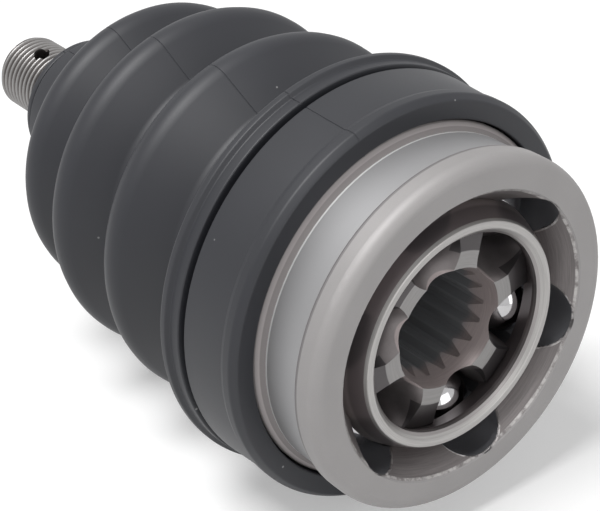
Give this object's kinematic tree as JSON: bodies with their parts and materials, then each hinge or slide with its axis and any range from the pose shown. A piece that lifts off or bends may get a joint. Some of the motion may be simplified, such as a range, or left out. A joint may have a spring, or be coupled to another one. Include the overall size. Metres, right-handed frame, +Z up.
{
  "type": "constant velocity joint",
  "caption": "Ball-type constant velocity joint: a bell with a stub axle, a cage of steel balls round a splined inner race, and a rubber bellows boot pushed on over the stub.",
  "frame": {"origin": "centre of the joint: the point on the axis in the plane of the six balls, about which the inner race tilts", "axes": "+Y along the axis towards the threaded end of the stub, the open mouth faces -Y, +Z up with the joint lying on its side"},
  "size_m": [0.108, 0.1927, 0.108],
  "materials": {
    "forged_steel": "satin",
    "cage_steel": "polished",
    "race_steel": "satin",
    "ball_steel": "polished",
    "boot_rubber": "satin"
  },
  "bodies": {
    "outer_race": {"outer_race": "forged_steel"},
    "cage": {"cage": "cage_steel"},
    "inner_race": {"inner_race": "race_steel"},
    "ball_1": {"ball_1": "ball_steel"},
    "ball_2": {"ball_2": "ball_steel"},
    "ball_3": {"ball_3": "ball_steel"},
    "ball_4": {"ball_4": "ball_steel"},
    "ball_5": {"ball_5": "ball_steel"},
    "ball_6": {"ball_6": "ball_steel"},
    "boot": {"boot": "boot_rubber"}
  },
  "joints": [
    {"name": "articulation", "type": "hinge", "parent": "outer_race", "child": "inner_race", "pos_m": [0, 0, 0], "axis": [0.9681, 0, 0.2504], "range_deg": [-45, 45]},
    {"name": "cage_turn", "type": "hinge", "parent": "outer_race", "child": "cage", "pos_m": [0, 0, 0], "axis": [0.9681, 0, 0.2504], "range_deg": [-22.5, 22.5]},
    {"name": "ball_1_roll", "type": "hinge", "parent": "outer_race", "child": "ball_1", "pos_m": [0, -0.0045, 0], "axis": [-0.7009, 0, 0.7133], "range_deg": [-11.7, 11.7]},
    {"name": "ball_2_roll", "type": "hinge", "parent": "outer_race", "child": "ball_2", "pos_m": [0, -0.0045, 0], "axis": [-0.9681, 0, -0.2504], "range_deg": [-22.5, 22.5]},
    {"name": "ball_3_roll", "type": "hinge", "parent": "outer_race", "child": "ball_3", "pos_m": [0, -0.0045, 0], "axis": [-0.2672, 0, -0.9636], "range_deg": [-11.7, 11.7]},
    {"name": "ball_4_roll", "type": "hinge", "parent": "outer_race", "child": "ball_4", "pos_m": [0, -0.0045, 0], "axis": [0.7009, 0, -0.7133], "range_deg": [-11.7, 11.7]},
    {"name": "ball_5_roll", "type": "hinge", "parent": "outer_race", "child": "ball_5", "pos_m": [0, -0.0045, 0], "axis": [0.9681, 0, 0.2504], "range_deg": [-22.5, 22.5]},
    {"name": "ball_6_roll", "type": "hinge", "parent": "outer_race", "child": "ball_6", "pos_m": [0, -0.0045, 0], "axis": [0.2672, 0, 0.9636], "range_deg": [-11.7, 11.7]},
    {"name": "boot_slide", "type": "slide", "parent": "outer_race", "child": "boot", "axis": [0, 1, 0], "range_m": [0, 0.18]}
  ],
  "couplings": [
    {"joint": "cage_turn", "follows": "articulation", "ratio": 0.5},
    {"joint": "ball_1_roll", "follows": "articulation", "ratio": -0.26},
    {"joint": "ball_2_roll", "follows": "articulation", "ratio": -0.5},
    {"joint": "ball_3_roll", "follows": "articulation", "ratio": -0.26},
    {"joint": "ball_4_roll", "follows": "articulation", "ratio": 0.26},
    {"joint": "ball_5_roll", "follows": "articulation", "ratio": 0.5},
    {"joint": "ball_6_roll", "follows": "articulation", "ratio": 0.26}
  ]
}
